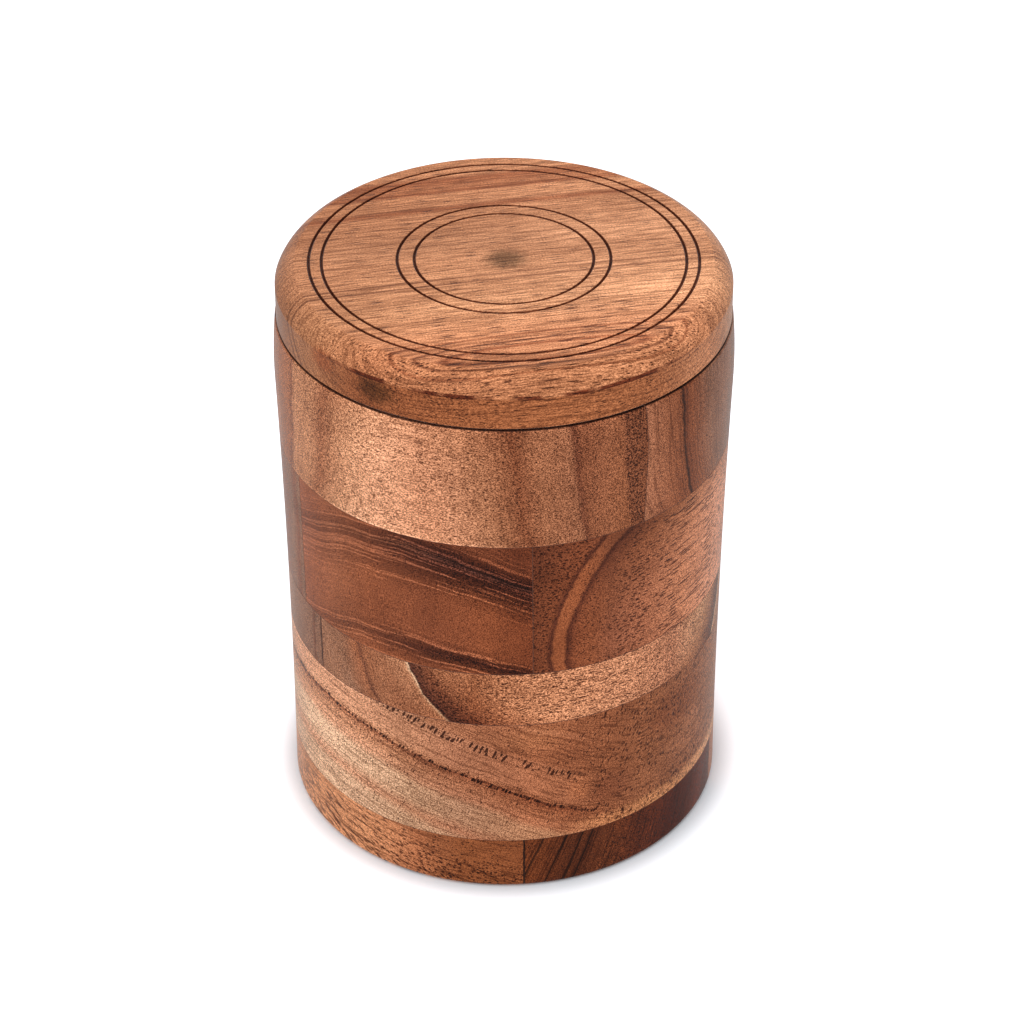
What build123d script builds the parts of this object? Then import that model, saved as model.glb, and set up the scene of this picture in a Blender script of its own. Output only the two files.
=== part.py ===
"""Wooden storage jar: a glued stack of hardwood layers, bored and turned, with a lift-off lid.

Millimetres. The origin is the centre of the underside, +Z is up and -Y is the front.
A compass angle on the jar counts from the front towards the right-hand side, +X.
"""

import os

from build123d import *

os.makedirs("parts", exist_ok=True)

# Heights of the glue planes between the layers, from the foot up
base_top = 14.8
lower_ring_top = 50.6
thin_ring_top = 65.9
middle_ring_top = 102.9
rim_height = 134.5

# The turned outside: a long shallow hollow curve up to a belly, then a short one in to the rim
foot_radius = 54.1
waist_radius = 53.82
waist_height = 55.0
belly_radius = 54.8
belly_height = 118.0
rim_radius = 54.1
foot_rounding = 1.4
rim_rounding = 1.0

# The bore
bore_radius = 46.0
mouth_chamfer = 0.8

# The base, the middle ring and the rim ring come from panels of three parallel strips
middle_strip_width = 62.0
blank_reach = 60.0

# The thin ring comes from a panel of two boards, glued this far from the axis
thin_ring_joint = -13.9

# Compass angle at which each layer shows its long grain
base_grain = -50
thin_ring_grain = 20
middle_ring_grain = 62
rim_ring_grain = -19

# The lid disc
lid_radius = 53.85
lid_top = 147.5
ridge_radius = 53.8
ridge_height = 142.65
shoulder_middle = (52.42, 145.0)
flat_radius = 49.1
lid_edge_chamfer = 0.4

# Two pairs of shallow rings turned into the top of the lid
groove_radii = (45.7, 42.7, 25.0, 21.0)
groove_width = 0.9
groove_depth = 0.6

# The plug under the lid and the groove that holds the seal
plug_radius = 45.2
plug_depth = 9.0
plug_chamfer = 1.0
seal_groove_radius = 43.0
seal_groove_low = 128.6
seal_groove_high = 131.8

# The seal: a band in the groove with two round ribs that reach for the bore
seal_gap = 0.05
seal_band_radius = 45.0
seal_rib_reach = 45.75
seal_rib_radius = 0.6
seal_rib_spacing = 1.6

half_strip = middle_strip_width / 2


# Section of the whole turned body, from the axis outwards
with BuildSketch(Plane.XZ) as body_section:
    with BuildLine():
        Line((0, 0), (foot_radius, 0))
        waist = ThreePointArc(
            (foot_radius, 0),
            (waist_radius, waist_height),
            (belly_radius, belly_height),
        )
        TangentArc((belly_radius, belly_height), (rim_radius, rim_height), tangent=waist % 1)
        Line((rim_radius, rim_height), (bore_radius, rim_height))
        Line((bore_radius, rim_height), (bore_radius, base_top))
        Line((bore_radius, base_top), (0, base_top))
        Line((0, base_top), (0, 0))
    make_face()
    top_corners = body_section.vertices().group_by(Axis.Y)[-1]
    chamfer(top_corners.sort_by(Axis.X)[0], length=mouth_chamfer)
    fillet(body_section.vertices().sort_by(Axis.X)[-1], radius=rim_rounding)
    foot_corners = body_section.vertices().group_by(Axis.Y)[0]
    fillet(foot_corners.sort_by(Axis.X)[-1], radius=foot_rounding)


def turned_board(name, grain, low, high, along, across):
    """One board of a glued layer, turned with the rest of the body.

    grain is the compass angle of the layer's long grain, low and high are its glue planes.
    along and across are the board's extents along the fibres and across them, from the axis.
    """
    panel = Plane.XY.offset(low).rotated((0, 0, grain))
    with BuildPart() as board:
        with BuildSketch(Plane.XZ):
            add(body_section.sketch_local)
            with Locations((0, low)):
                Rectangle(blank_reach, high - low, align=(Align.MIN, Align.MIN), mode=Mode.INTERSECT)
        revolve(axis=Axis.Z)
        with BuildSketch(panel):
            with Locations(((along[0] + along[1]) / 2, (across[0] + across[1]) / 2)):
                Rectangle(along[1] - along[0], across[1] - across[0])
        extrude(amount=high - low, mode=Mode.INTERSECT)
    board.part.label = name
    export_step(board.part, f"parts/{name}.step")


# Where the strips of a panel lie, along and across their fibres
full_length = (-blank_reach, blank_reach)
far_end = (0, blank_reach)
near_end = (-blank_reach, 0)
outer_side = (-blank_reach, -half_strip)
middle = (-half_strip, half_strip)
inner_side = (half_strip, blank_reach)
front_part = (-blank_reach, thin_ring_joint)
back_part = (thin_ring_joint, blank_reach)

# Base: a solid disc of three boards
turned_board("base_left_board", base_grain, 0, base_top, full_length, outer_side)
turned_board("base_middle_board", base_grain, 0, base_top, full_length, middle)
turned_board("base_right_board", base_grain, 0, base_top, full_length, inner_side)

# Lower ring: one wide board, bored through
turned_board("lower_ring", 0, base_top, lower_ring_top, full_length, full_length)

# Thin ring: two boards, one joint across the whole layer
for board, across in (("thin_ring_front_board", front_part), ("thin_ring_back_board", back_part)):
    turned_board(board, thin_ring_grain, lower_ring_top, thin_ring_top, full_length, across)


def ring_of_boards(grain, low, high, names):
    """A bored layer: two long boards on the sides and the two ends left of the middle strip."""
    outer_board, far_block, inner_board, near_block = names
    turned_board(outer_board, grain, low, high, full_length, outer_side)
    turned_board(far_block, grain, low, high, far_end, middle)
    turned_board(inner_board, grain, low, high, full_length, inner_side)
    turned_board(near_block, grain, low, high, near_end, middle)


# Middle ring and rim ring
ring_of_boards(
    middle_ring_grain,
    thin_ring_top,
    middle_ring_top,
    (
        "middle_ring_right_board",
        "middle_ring_back_block",
        "middle_ring_left_board",
        "middle_ring_front_block",
    ),
)
ring_of_boards(
    rim_ring_grain,
    middle_ring_top,
    rim_height,
    ("rim_ring_front_board", "rim_ring_right_block", "rim_ring_back_board", "rim_ring_left_block"),
)

# Lid disc: a near upright edge, a rounded shoulder and a flat top with the turned rings
with BuildPart() as lid_disc:
    with BuildSketch(Plane.XZ) as disc_section:
        with BuildLine():
            Line((0, rim_height), (lid_radius, rim_height))
            Line((lid_radius, rim_height), (ridge_radius, ridge_height))
            ThreePointArc((ridge_radius, ridge_height), shoulder_middle, (flat_radius, lid_top))
            Line((flat_radius, lid_top), (0, lid_top))
            Line((0, lid_top), (0, rim_height))
        make_face()
        chamfer(disc_section.vertices().sort_by(Axis.X)[-1], length=lid_edge_chamfer)
    revolve(axis=Axis.Z)
    with BuildSketch(Plane.XZ):
        for radius in groove_radii:
            with BuildLine():
                Polyline(
                    (radius - groove_width / 2, lid_top),
                    (radius, lid_top - groove_depth),
                    (radius + groove_width / 2, lid_top),
                    (radius, lid_top + groove_depth),
                    close=True,
                )
            make_face()
    revolve(axis=Axis.Z, mode=Mode.SUBTRACT)
lid_disc.part.label = "lid_disc"
export_step(lid_disc.part, "parts/lid_disc.step")

# Lid plug: a disc glued under the lid, with a groove round it for the seal
with BuildPart() as lid_plug:
    with BuildSketch(Plane.XZ) as plug_section:
        with Locations((0, rim_height - plug_depth)):
            Rectangle(plug_radius, plug_depth, align=(Align.MIN, Align.MIN))
        lower_corners = plug_section.vertices().group_by(Axis.Y)[0]
        chamfer(lower_corners.sort_by(Axis.X)[-1], length=plug_chamfer)
        with Locations((seal_groove_radius, seal_groove_low)):
            Rectangle(
                plug_radius,
                seal_groove_high - seal_groove_low,
                align=(Align.MIN, Align.MIN),
                mode=Mode.SUBTRACT,
            )
    revolve(axis=Axis.Z)
lid_plug.part.label = "lid_plug"
export_step(lid_plug.part, "parts/lid_plug.step")

# Lid seal: the band fills the groove, the two ribs stop just short of the bore
seal_middle = (seal_groove_low + seal_groove_high) / 2
with BuildPart() as lid_seal:
    with BuildSketch(Plane.XZ):
        with Locations((seal_groove_radius + seal_gap, seal_middle)):
            Rectangle(
                seal_band_radius - seal_groove_radius - seal_gap,
                seal_groove_high - seal_groove_low - 2 * seal_gap,
                align=(Align.MIN, Align.CENTER),
            )
        rib_centre = seal_rib_reach - seal_rib_radius
        with Locations(
            (rib_centre, seal_middle - seal_rib_spacing / 2),
            (rib_centre, seal_middle + seal_rib_spacing / 2),
        ):
            Circle(seal_rib_radius)
    revolve(axis=Axis.Z)
lid_seal.part.label = "lid_seal"
export_step(lid_seal.part, "parts/lid_seal.step")
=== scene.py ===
# %% [markdown]
# # Dressing a turned wooden jar
# The real object is a storage jar turned from a glued stack of hardwood layers, with a thick
# lift-off lid. Its shape is simple, so nearly everything that the eye enjoys is in the wood:
# every board was sawn from another part of a tree, and the lathe cut through all of them.
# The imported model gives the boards, the joints between them and the one motion, the lid
# lifting off. This lesson gives each board a fine surface and wood of its own.

import math

import bpy
import numpy as np
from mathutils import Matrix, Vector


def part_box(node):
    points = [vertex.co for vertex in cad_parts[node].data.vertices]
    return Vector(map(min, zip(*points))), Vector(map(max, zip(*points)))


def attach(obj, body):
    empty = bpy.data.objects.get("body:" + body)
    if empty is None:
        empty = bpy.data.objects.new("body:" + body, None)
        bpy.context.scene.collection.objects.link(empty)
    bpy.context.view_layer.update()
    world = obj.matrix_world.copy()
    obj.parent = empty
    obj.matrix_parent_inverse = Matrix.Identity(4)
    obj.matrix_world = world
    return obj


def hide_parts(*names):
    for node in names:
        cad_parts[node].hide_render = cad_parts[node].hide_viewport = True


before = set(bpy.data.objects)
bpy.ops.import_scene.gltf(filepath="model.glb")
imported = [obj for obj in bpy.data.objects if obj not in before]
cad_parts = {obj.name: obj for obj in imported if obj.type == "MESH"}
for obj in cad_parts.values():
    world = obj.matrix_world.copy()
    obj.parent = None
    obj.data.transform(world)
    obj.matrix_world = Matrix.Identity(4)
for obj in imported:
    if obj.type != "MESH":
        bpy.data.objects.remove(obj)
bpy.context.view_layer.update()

# %% [markdown]
# ## Measures
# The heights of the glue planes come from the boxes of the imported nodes, so the fine surfaces
# can't drift away from the solids that they stand for. The turned outside is a long shallow
# hollow curve up to a belly, and a short curve from there in to the rim. The first is a circle
# through three points. The second is a circle that leaves the belly in line with the first
# and ends at the rim, so the hand feels no edge between them.

# %% Heights from the frame, radii of the turned shape
mm = 0.001


def levels_of(node):
    """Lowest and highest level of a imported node, in metres."""
    low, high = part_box(node)
    return low.z, high.z


foot, base_top = levels_of("base_middle_board")
lower_ring_top = levels_of("lower_ring")[1]
thin_ring_top = levels_of("thin_ring_front_board")[1]
middle_ring_top = levels_of("middle_ring_front_block")[1]
rim_top = levels_of("rim_ring_front_board")[1]
lid_top = levels_of("lid_disc")[1]

foot_radius = 54.1 * mm
waist_radius = 53.82 * mm
waist_height = 55 * mm
belly_radius = 54.8 * mm
belly_height = 118 * mm
rim_radius = 54.1 * mm
bore_radius = 46 * mm
half_strip = 31 * mm
thin_joint = 13.9 * mm
glue_planes = np.array([base_top, lower_ring_top, thin_ring_top, middle_ring_top])
print("glue planes in mm:", np.round(glue_planes / mm, 2))


# %% The template curve
def circle_through(points):
    """Centre and radius of the circle through three points of the (radius, height) plane.

    The centre is where the bisectors of two chords meet: two linear equations.
    """
    chords = points[1:] - points[0]
    middles = (points[1:] + points[0]) / 2
    centre = np.linalg.solve(chords, (chords * middles).sum(axis=1))
    return centre, np.linalg.norm(points[0] - centre)


def circle_on(centre_before, start, end):
    """Circle that carries an arc on smoothly from its end point to another point.

    Its centre lies on the line through the centre before and the start, so its radius is
    the chord squared over twice the chord's reach along that line.
    """
    inward = (start - centre_before) / np.linalg.norm(start - centre_before)
    chord = end - start
    size = chord @ chord / (2 * chord @ inward)
    return start + size * inward, size


foot_point = np.array([foot_radius, foot])
waist_point = np.array([waist_radius, waist_height])
belly_point = np.array([belly_radius, belly_height])
rim_point = np.array([rim_radius, rim_top])
hollow_centre, hollow_size = circle_through(np.array([foot_point, waist_point, belly_point]))
round_centre, round_size = circle_on(hollow_centre, belly_point, rim_point)


def wall_radius(height):
    """Outside radius at a height: a centre's own radius, less or plus the half chord there."""
    height = np.asarray(height)
    hollow = hollow_centre[0] - np.sqrt(hollow_size**2 - (height - hollow_centre[1]) ** 2)
    raised = np.maximum(height, belly_height) - round_centre[1]
    rounded = round_centre[0] + np.sqrt(round_size**2 - raised**2)
    return np.where(height < belly_height, hollow, rounded)


heights = np.array([foot, waist_height, belly_height, rim_top])
print("radii at foot, waist, belly and rim in mm:", np.round(wall_radius(heights) / mm, 3))

# %% [markdown]
# ## Surfaces from grids
# Every piece of the jar is a grid of points: a section runs along one side of the grid, and
# along the other side it is carried round the axis. The faces of a grid follow from its
# indices alone. A closed section carried full circle needs nothing more, and any other grid
# gets one flat cap on each open end.


# %% Faces of a grid
def grid_faces(rows, columns, wrap_rows, wrap_columns):
    """Corner indices of the quads between neighbours of a grid, closed on the sides that wrap."""
    index = np.arange(rows * columns).reshape(rows, columns)
    if wrap_rows:
        index = np.vstack([index, index[:1]])
    if wrap_columns:
        index = np.hstack([index, index[:, :1]])
    corners = index[:-1, :-1], index[:-1, 1:], index[1:, 1:], index[1:, :-1]
    return np.stack(corners, axis=-1).reshape(-1, 4)


def volume_inside(points, polygons):
    """Volume inside closed faces: the sum of the cones from the origin over each face's fan."""
    total = 0.0
    for corners in polygons:
        ring = points[corners]
        fan = np.cross(ring[..., 1:-1, :] - ring[..., :1, :], ring[..., 2:, :] - ring[..., :1, :])
        total += (fan * ring[..., :1, :]).sum() / 6
    return total


# %% From a grid to a piece of the jar
crease = 18


def new_piece(name, grid, caps, wraps, body):
    """A closed smooth mesh piece that rides on a body and stands for the node of its name.

    An edge between faces that meet at more than the crease angle, in degrees, stays sharp.
    """
    rows, columns = grid.shape[:2]
    points = grid.reshape(-1, 3)
    quads = grid_faces(rows, columns, *wraps)
    inside = volume_inside(points, [quads]) + volume_inside(points, caps)
    if inside < 0:
        quads = quads[:, ::-1]
        caps = [corners[::-1] for corners in caps]
    mesh = bpy.data.meshes.new(name)
    mesh.from_pydata(points.tolist(), [], quads.tolist() + [corners.tolist() for corners in caps])
    mesh.polygons.foreach_set("use_smooth", np.ones(len(mesh.polygons), bool))
    mesh.set_sharp_from_angle(angle=math.radians(crease))
    piece = bpy.data.objects.new(name + "_turned", mesh)
    bpy.context.scene.collection.objects.link(piece)
    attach(piece, body)
    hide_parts(name)
    print(f"{piece.name}: {len(mesh.polygons)} faces, {abs(inside) / mm**3 / 1000:.1f} cm3")
    return piece


def end_caps(rows, columns):
    """The two flat caps of a closed section that doesn't go full circle: its end columns."""
    index = np.arange(rows * columns).reshape(rows, columns)
    return [index[:, 0], index[::-1, -1]]


def pole_caps(rows, columns):
    """The two flat caps of rings stacked in rows: the lowest row and the highest row."""
    index = np.arange(rows * columns).reshape(rows, columns)
    return [index[0, ::-1], index[-1]]


# %% [markdown]
# ## Boards of a layer
# Most layers began as a flat panel of three parallel strips, glued edge to edge. Cut to a disc
# and bored, the panel leaves four pieces: two long boards, one each side, and the two ends of
# the middle strip. The joints are the planes half a strip either side of the axis. The thin
# ring came from a panel of two boards, so it has one joint plane, off the middle. Each
# piece is a section carried from one joint plane to the other. The angle at which a joint
# plane meets the section is the arc cosine or arc sine of its distance over the radius, so
# it is a little different for each point of the section. The board that holds the axis is
# beyond a joint at a negative distance.


# %% Where joint planes cut the turned shape
def around(centre, half_angle, steps):
    """Compass angles from one joint to the other, for each point of a section."""
    share = np.linspace(-1, 1, steps)
    return math.radians(centre) + half_angle[:, None] * share


def at_compass(radius, angle, height):
    """Points at a compass angle that counts from the front towards the right-hand side."""
    radius, angle, height = np.broadcast_arrays(radius, angle, height)
    return np.stack([radius * np.sin(angle), -radius * np.cos(angle), height], axis=-1)


def beyond(joint):
    """Half the angle of a board beyond a joint: arc cosine of the joint's place over the radius."""
    return lambda radius: np.arccos(joint / radius)


def between(joint):
    """Half the angle of a block between two joints, one each side: the matching arc sine."""
    return lambda radius: np.arcsin(joint / radius)


# %% [markdown]
# ## Sections
# A ring's section is a closed loop: up the turned wall, in over the top, down the bore and out
# again underneath. The rim differs, since its two upper edges are rounded over: a generous
# rounding outside, where the hand goes, and a small one at the mouth.

# %% Section of a ring
wall_step = 1 * mm
rim_rounding = 1 * mm
mouth_rounding = 0.8 * mm
foot_rounding = 1.4 * mm


def quarter_round(centre_radius, centre_height, size, first_degrees, steps=9):
    """Points of a quarter circle in the (radius, height) plane, turning anticlockwise."""
    angle = np.radians(np.linspace(first_degrees, first_degrees + 90, steps))
    return np.column_stack([centre_radius + size * np.cos(angle), centre_height + size * np.sin(angle)])


def wall_section(low, high):
    """Points up the turned wall, about one every millimetre."""
    height = np.linspace(low, high, 2 + round((high - low) / wall_step))
    return np.column_stack([wall_radius(height), height])


def ring_section(low, high):
    """Closed section of a plain ring between two glue planes."""
    return np.vstack([wall_section(low, high), [(bore_radius, high), (bore_radius, low)]])


def rim_section(low, high):
    """Closed section of the rim ring, with its two rounded upper edges."""
    shoulder = high - rim_rounding
    outer = quarter_round(float(wall_radius(shoulder)) - rim_rounding, shoulder, rim_rounding, 0)
    mouth = quarter_round(bore_radius + mouth_rounding, high - mouth_rounding, mouth_rounding, 90)
    return np.vstack([wall_section(low, shoulder)[:-1], outer, mouth, [(bore_radius, low)]])


# %% A board of a ring, and a piece that goes full circle
arc_step = 1.2
ring_steps = 300


def arc_steps(half_angle):
    """Number of points along an arc: one for about every arc_step degrees."""
    return round(math.degrees(half_angle.max()) * 2 / arc_step)


def ring_board(name, section, centre, half_angle):
    """One board of a bored layer: its section carried round between the two joint planes."""
    half = half_angle(section[:, 0])
    steps = arc_steps(half)
    grid = at_compass(section[:, :1], around(centre, half, steps), section[:, 1:])
    return new_piece(name, grid, end_caps(len(section), steps), (True, False), "jar")


def turned(name, section, closed, steps, body):
    """A section carried full circle: a ring if it is closed, or else capped at its two ends."""
    angle = np.radians(np.linspace(0, 360, steps, endpoint=False))
    grid = at_compass(section[:, :1], angle[None, :], section[:, 1:])
    caps = [] if closed else pole_caps(len(section), steps)
    return new_piece(name, grid, caps, (closed, True), body)


# %% [markdown]
# ## The base
# The base isn't bored, so a section carried round would leave its middle open. Its boards are
# stacked outlines instead: at each level the outline is an arc or two, joined by the straight
# joint lines, and the lowest outlines draw in to round the foot.


# %% A board of the base
def base_board(name, centres, half_angle):
    """Outlines of a base board stacked over its levels and capped below and above."""
    centre = float(wall_radius(foot_rounding)) - foot_rounding
    foot_edge = quarter_round(centre, foot_rounding, foot_rounding, -90)
    levels = np.vstack([foot_edge, wall_section(foot_rounding, base_top)[1:]])
    half = half_angle(levels[:, 0])
    angle = np.hstack([around(middle, half, arc_steps(half)) for middle in centres])
    grid = at_compass(levels[:, :1], angle, levels[:, 1:])
    caps = pole_caps(len(levels), angle.shape[1])
    return new_piece(name, grid, caps, (False, True), "jar")


# %% Cut every board of the jar
base_grain = -50
thin_ring_grain = 20
middle_ring_grain = 62
rim_ring_grain = -19


def ring_of_boards(section, grain, rows):
    """The four boards of a layer, a quarter turn apart, each with its name from the rows."""
    made = []
    for quarter, (name, material_slot) in enumerate(rows):
        half_angle = (between if quarter % 2 else beyond)(half_strip)
        made.append(ring_board(name, section, grain + 90 * quarter, half_angle))
    return made


left, right = base_grain, base_grain + 180
side, block = beyond(half_strip), between(half_strip)
base_left = base_board("base_left_board", [left], side)
base_middle = base_board("base_middle_board", [left - 90, left + 90], block)
base_right = base_board("base_right_board", [right], side)

lower_section = ring_section(base_top, lower_ring_top)
lower_ring = turned("lower_ring", lower_section, True, ring_steps, "jar")

thin_section = ring_section(lower_ring_top, thin_ring_top)
thin_front = ring_board(
    "thin_ring_front_board", thin_section, thin_ring_grain, beyond(thin_joint)
)
thin_back = ring_board(
    "thin_ring_back_board", thin_section, thin_ring_grain + 180, beyond(-thin_joint)
)
middle_right, middle_back, middle_left, middle_front = ring_of_boards(
    ring_section(thin_ring_top, middle_ring_top),
    middle_ring_grain,
    [
        ("middle_ring_right_board", "red_brown_wood"),
        ("middle_ring_back_block", "dark_wood"),
        ("middle_ring_left_board", "grey_brown_wood"),
        ("middle_ring_front_block", "dark_wood"),
    ],
)
rim_front, rim_right, rim_back, rim_left = ring_of_boards(
    rim_section(middle_ring_top, rim_top),
    rim_ring_grain,
    [
        ("rim_ring_front_board", "pale_wood"),
        ("rim_ring_right_block", "striped_wood"),
        ("rim_ring_back_board", "pale_wood"),
        ("rim_ring_left_block", "striped_wood"),
    ],
)

# %% [markdown]
# ## Edges of the boards
# The jar was turned after gluing, so the wall runs straight over the joints. Sanding and a
# little movement of the wood leave a fine line at each joint, which catches dark glue and
# wax. A Bevel modifier eases each sharp edge by about a tenth of a millimetre, and gives the eased
# strip a material of its own, the glue line.

# %% Ease the sharp edges
eased = 0.09 * mm
eased_from = 50
jar_boards = [
    base_left, base_middle, base_right, lower_ring,
    thin_front, thin_back,
    middle_right, middle_back, middle_left, middle_front,
    rim_front, rim_right, rim_back, rim_left,
]


def ease_edges(piece, width, strip_slot):
    """Bevels the edges between faces that meet at more than eased_from degrees.

    The new faces take the material slot of the strip.
    """
    bevel = piece.modifiers.new("eased_edges", "BEVEL")
    bevel.width = width
    bevel.segments = 2
    bevel.limit_method = "ANGLE"
    bevel.angle_limit = math.radians(eased_from)
    bevel.material = strip_slot
    bevel.harden_normals = True


for board in jar_boards:
    ease_edges(board, eased, 1)
print(len(jar_boards), "boards eased by", eased / mm, "mm")

# %% [markdown]
# ## The lid
# The lid is one thick disc. From the middle out, its profile is a flat top with two pairs of
# shallow turned rings, a rounded shoulder, a faint ridge where the shoulder meets the edge,
# and an edge that leans in by a hair. The whole lid is this profile carried full circle. A
# ring's groove is half a cosine wave, which is what a small round-nosed tool leaves.

# %% Profile of the lid
lid_radius = 53.85 * mm
ridge = (53.8 * mm, 142.65 * mm)
shoulder_middle = (52.42 * mm, 145 * mm)
flat_radius = 49.1 * mm
lid_edge_chamfer = 0.4 * mm
groove_radii = np.array([21, 25, 42.7, 45.7]) * mm
groove_width = 0.9 * mm
groove_depth = 0.6 * mm
pole_radius = 1.5 * mm
top_step = 1.2 * mm
groove_points = 17
groove_clearance = 0.7 * groove_width
shoulder_points = 16
lid_steps = 360


def groove_drop(radius):
    """How far the turned rings lower the flat top at a radius: a half cosine in each groove."""
    off = np.abs(radius[:, None] - groove_radii).min(axis=1) / (groove_width / 2)
    return groove_depth * np.where(off < 1, (1 + np.cos(np.pi * np.minimum(off, 1))) / 2, 0)


def lid_flat():
    """Points of the flat top from the middle cap outwards, close together in the grooves."""
    coarse = np.arange(pole_radius, flat_radius, top_step)
    fine = groove_radii[:, None] + np.linspace(-0.5, 0.5, groove_points) * groove_width
    near = np.abs(coarse[:, None] - groove_radii).min(axis=1) < groove_clearance
    radius = np.sort(np.concatenate([coarse[~near], fine.ravel()]))
    return np.column_stack([radius, lid_top - groove_drop(radius)])


def lid_shoulder():
    """Points of the arc from the flat top down to the ridge, through its middle point."""
    ends = np.array([(flat_radius, lid_top), shoulder_middle, ridge])
    centre, size = circle_through(ends)
    start, stop = (math.atan2(*(end - centre)[::-1]) for end in ends[[0, 2]])
    angle = np.linspace(start, stop, shoulder_points)
    return centre + size * np.column_stack([np.cos(angle), np.sin(angle)])


lid_edge = np.array(
    [
        (lid_radius, rim_top + lid_edge_chamfer),
        (lid_radius - lid_edge_chamfer, rim_top),
        (pole_radius, rim_top),
    ]
)
lid_profile = np.vstack([lid_flat(), lid_shoulder(), lid_edge])
print("lid profile:", len(lid_profile), "points")
lid_disc = turned("lid_disc", lid_profile, False, lid_steps, "lid")

# %% [markdown]
# ### How deep each point lies in a turned ring
# The rings were burnished as they were cut, so they are darker the deeper they go. The mesh
# knows its own depth, so it carries it as an attribute, which the lid's finish can read.

# %% Depth in the grooves as an attribute
above_shoulder = lid_top - 1.01 * groove_depth
on_top = lid_profile[:, 1] > above_shoulder
depth_share = groove_drop(lid_profile[:, 0]) / groove_depth * on_top
cut = lid_disc.data.attributes.new("cut", "FLOAT", "POINT")
cut.data.foreach_set("value", np.repeat(depth_share, lid_steps).astype(np.float32))
print("points in a groove:", int((depth_share > 0).sum()) * lid_steps)

# %% [markdown]
# ### The plug and the seal
# Inside, a smaller disc under the lid keeps it centred on the mouth. A soft ring sits in a
# groove round that plug. It has two round ribs that brush the bore and keep the air out.

# %% Plug and seal
plug_radius = 45.2 * mm
plug_low = levels_of("lid_plug")[0]
plug_chamfer = 1 * mm
seal_groove_radius = 43 * mm
seal_groove_low = 128.6 * mm
seal_groove_high = 131.8 * mm
seal_gap = 0.05 * mm
seal_band_radius = 45 * mm
rib_radius = 0.6 * mm
rib_centre_radius = 45.75 * mm - rib_radius
rib_points = 15
rib_spacing = 1.6 * mm

plug_profile = np.array(
    [
        (pole_radius, plug_low),
        (plug_radius - plug_chamfer, plug_low),
        (plug_radius, plug_low + plug_chamfer),
        (plug_radius, seal_groove_low),
        (seal_groove_radius, seal_groove_low),
        (seal_groove_radius, seal_groove_high),
        (plug_radius, seal_groove_high),
        (plug_radius, rim_top),
        (pole_radius, rim_top),
    ]
)
inner_steps = 240
plug_eased = 0.2 * mm
lid_plug = turned("lid_plug", plug_profile, False, inner_steps, "lid")
ease_edges(lid_plug, plug_eased, 0)


def seal_section():
    """The band in the groove, with two round ribs: arcs that start and stop on its outer face."""
    low, high = seal_groove_low + seal_gap, seal_groove_high - seal_gap
    half_turn = math.acos((seal_band_radius - rib_centre_radius) / rib_radius)
    angle = np.linspace(-half_turn, half_turn, rib_points)
    middle = (low + high) / 2
    arc = np.column_stack([rib_centre_radius + rib_radius * np.cos(angle), rib_radius * np.sin(angle)])
    ribs = [arc + (0, middle + side * rib_spacing / 2) for side in (-1, 1)]
    inner = seal_groove_radius + seal_gap
    low_side = [(inner, low), (seal_band_radius, low)]
    high_side = [(seal_band_radius, high), (inner, high)]
    return np.vstack([low_side, *ribs, high_side])


lid_seal = turned("lid_seal", seal_section(), True, inner_steps, "lid")

# %% [markdown]
# ## Wood in three dimensions
# A turned piece shows each board along, across and through its fibres, all on one curved
# wall. An image wrapped round it would show that at once. So the wood here is a solid: a
# value for every point in space, built up from the few things that real wood is made of.
# Growth rings are surfaces round the pith, the middle of the tree. Pores are long thin
# tubes along the fibres, dashes where the lathe cut along them and dots where it cut across.
# Pale and dark cells between them make the wood look peppered from close by.
# All lengths in a finish are in millimetres, in a frame turned so that its first axis runs
# along the board's fibres, the second lies across them and the third is up.

# %% Colours of the wood, written as sRGB values from 0 to 255


def tone(red, green, blue):
    """A colour that is written in sRGB, as the linear values that a shader takes."""
    value = np.array([red, green, blue]) / 255
    low = value / 12.92
    high = ((value + 0.055) / 1.055) ** 2.4
    return tuple(np.where(value <= 0.04045, low, high).tolist())


cream = tone(232, 186, 148)
honey = tone(222, 160, 122)
sand = tone(204, 142, 104)
tan = tone(184, 120, 84)
salmon = tone(192, 120, 86)
rust = tone(158, 94, 62)
chestnut = tone(136, 78, 52)
walnut = tone(112, 62, 42)
cocoa = tone(86, 44, 32)
coal = tone(52, 27, 22)
soot = tone(26, 14, 12)
grey_brown = tone(146, 100, 76)
print("from the palest to the darkest, in linear red:", round(cream[0], 3), round(soot[0], 3))

# %% [markdown]
# ### Small steps of a finish
# A finish is a tree of shader nodes. The first class below adds nodes to any such tree, of a
# material or of the world. The second one adds the few kinds of node that wood needs, so
# that the finishes further down read as recipes.


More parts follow.
